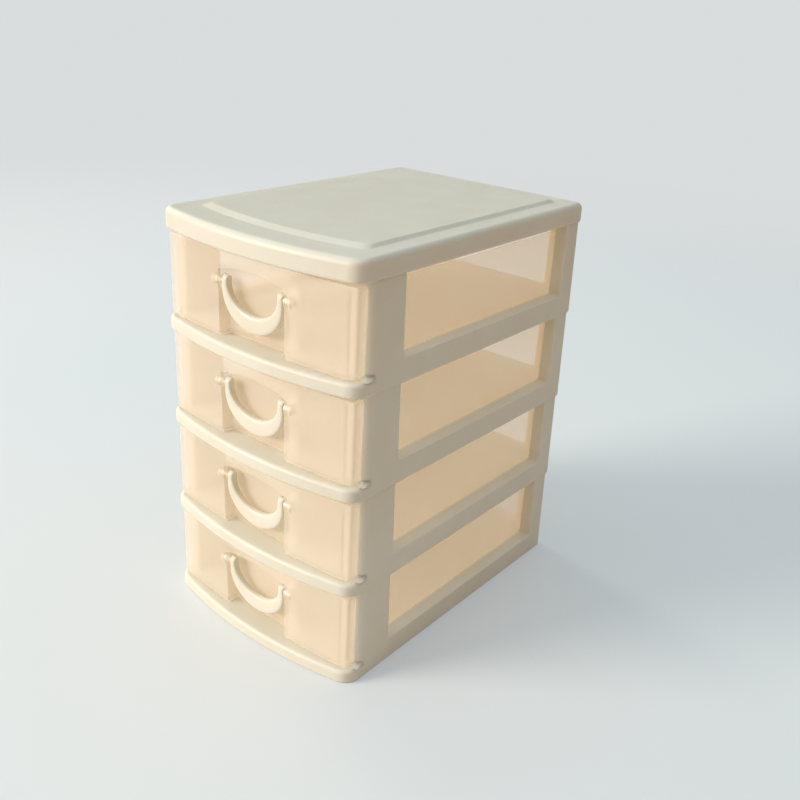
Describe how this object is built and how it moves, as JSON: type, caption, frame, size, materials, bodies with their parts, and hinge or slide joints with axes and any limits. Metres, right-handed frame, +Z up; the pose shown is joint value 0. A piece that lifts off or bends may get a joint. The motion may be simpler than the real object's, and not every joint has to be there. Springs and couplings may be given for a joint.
{
  "type": "desktop mini drawers",
  "caption": "Desktop mini drawers: stacked bow-fronted tiers under a raised-panel cover, with frosted pull-out trays that hang a swinging bail handle in a recess.",
  "frame": {"origin": "on the surface that the case stands on, at the middle of its width and depth", "axes": "+Z up, -Y out of the drawer fronts, +X to the right of a person who faces the fronts"},
  "size_m": [0.1312, 0.1896, 0.2188],
  "materials": {
    "case_plastic": "warm ivory moulded polypropylene, satin",
    "drawer_plastic": "frosted translucent polypropylene, satin",
    "handle_plastic": "warm ivory moulded polypropylene, satin"
  },
  "bodies": {
    "case": {"tier_frame_1": "case_plastic", "tier_frame_2": "case_plastic", "tier_frame_3": "case_plastic", "tier_frame_4": "case_plastic", "top_cover": "case_plastic"},
    "sliding_drawer_1": {"drawer_1": "drawer_plastic"},
    "bail_1": {"handle_1": "handle_plastic"},
    "sliding_drawer_2": {"drawer_2": "drawer_plastic"},
    "bail_2": {"handle_2": "handle_plastic"},
    "sliding_drawer_3": {"drawer_3": "drawer_plastic"},
    "bail_3": {"handle_3": "handle_plastic"},
    "sliding_drawer_4": {"drawer_4": "drawer_plastic"},
    "bail_4": {"handle_4": "handle_plastic"}
  },
  "joints": [
    {"name": "drawer_1_slide", "type": "slide", "parent": "case", "child": "sliding_drawer_1", "axis": [0, -1, 0], "range_m": [0, 0.14]},
    {"name": "handle_1_hinge", "type": "hinge", "parent": "sliding_drawer_1", "child": "bail_1", "pos_m": [0, -0.08615, 0.0347], "axis": [-1, 0, 0], "range_deg": [-5, 135]},
    {"name": "drawer_2_slide", "type": "slide", "parent": "case", "child": "sliding_drawer_2", "axis": [0, -1, 0], "range_m": [0, 0.14]},
    {"name": "handle_2_hinge", "type": "hinge", "parent": "sliding_drawer_2", "child": "bail_2", "pos_m": [0, -0.08615, 0.0865], "axis": [-1, 0, 0], "range_deg": [-5, 135]},
    {"name": "drawer_3_slide", "type": "slide", "parent": "case", "child": "sliding_drawer_3", "axis": [0, -1, 0], "range_m": [0, 0.14]},
    {"name": "handle_3_hinge", "type": "hinge", "parent": "sliding_drawer_3", "child": "bail_3", "pos_m": [0, -0.08615, 0.1383], "axis": [-1, 0, 0], "range_deg": [-5, 135]},
    {"name": "drawer_4_slide", "type": "slide", "parent": "case", "child": "sliding_drawer_4", "axis": [0, -1, 0], "range_m": [0, 0.14]},
    {"name": "handle_4_hinge", "type": "hinge", "parent": "sliding_drawer_4", "child": "bail_4", "pos_m": [0, -0.08615, 0.1901], "axis": [-1, 0, 0], "range_deg": [-5, 135]}
  ]
}
